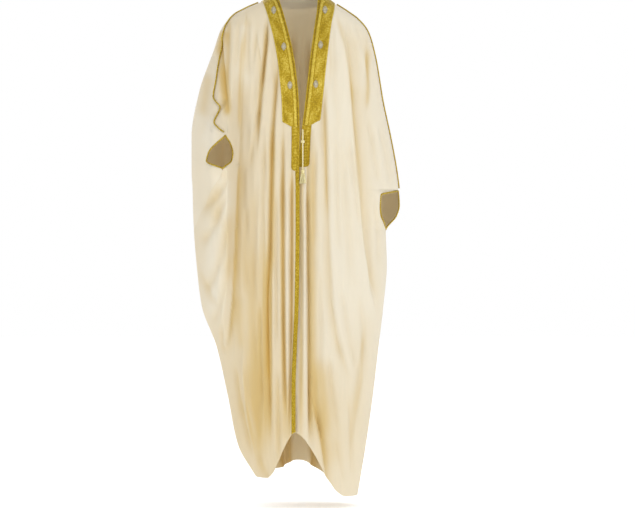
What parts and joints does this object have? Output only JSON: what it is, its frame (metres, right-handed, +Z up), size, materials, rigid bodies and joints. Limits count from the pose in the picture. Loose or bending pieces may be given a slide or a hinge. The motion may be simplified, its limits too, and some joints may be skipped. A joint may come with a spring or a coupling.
{
  "type": "bisht cloak",
  "caption": "Open-fronted full-length cloak worn over the shoulders, with banded neck, piped shoulder seams, open cuffs and a tasselled tie, held hollow as worn.",
  "frame": {"origin": "where the cloak rests on the shoulders, on the line through the middle of the neck opening, level with the sides of the neck", "axes": "+Z up, the open front faces -Y, and +X is the side of the left sleeve, on the right of the front view"},
  "size_m": [0.6182, 0.4514, 1.4946],
  "materials": {
    "cream_crepe": "thin matt cream crepe, slightly sheer",
    "gold_thread": "braid and embroidery of gold metal thread, with a soft glitter",
    "silver_thread": "embroidery of pale silver metal thread"
  },
  "bodies": {
    "root": {"back": "cream_crepe", "cuff_piping_left": "gold_thread", "cuff_piping_right": "gold_thread", "front_band_left": "gold_thread", "front_band_right": "gold_thread", "front_edging_right": "gold_thread", "front_left": "cream_crepe", "front_right": "cream_crepe", "lower_band_left": "gold_thread", "lower_band_right": "gold_thread", "motif_left_1": "silver_thread", "motif_left_2": "silver_thread", "motif_left_3": "silver_thread", "motif_right_1": "silver_thread", "motif_right_2": "silver_thread", "motif_right_3": "silver_thread", "neck_band_back": "gold_thread", "shoulder_piping_left": "gold_thread", "shoulder_piping_right": "gold_thread", "tassel": "gold_thread", "tie_bead": "gold_thread", "tie_cord_lower": "gold_thread", "tie_cord_upper": "gold_thread"}
  },
  "joints": []
}
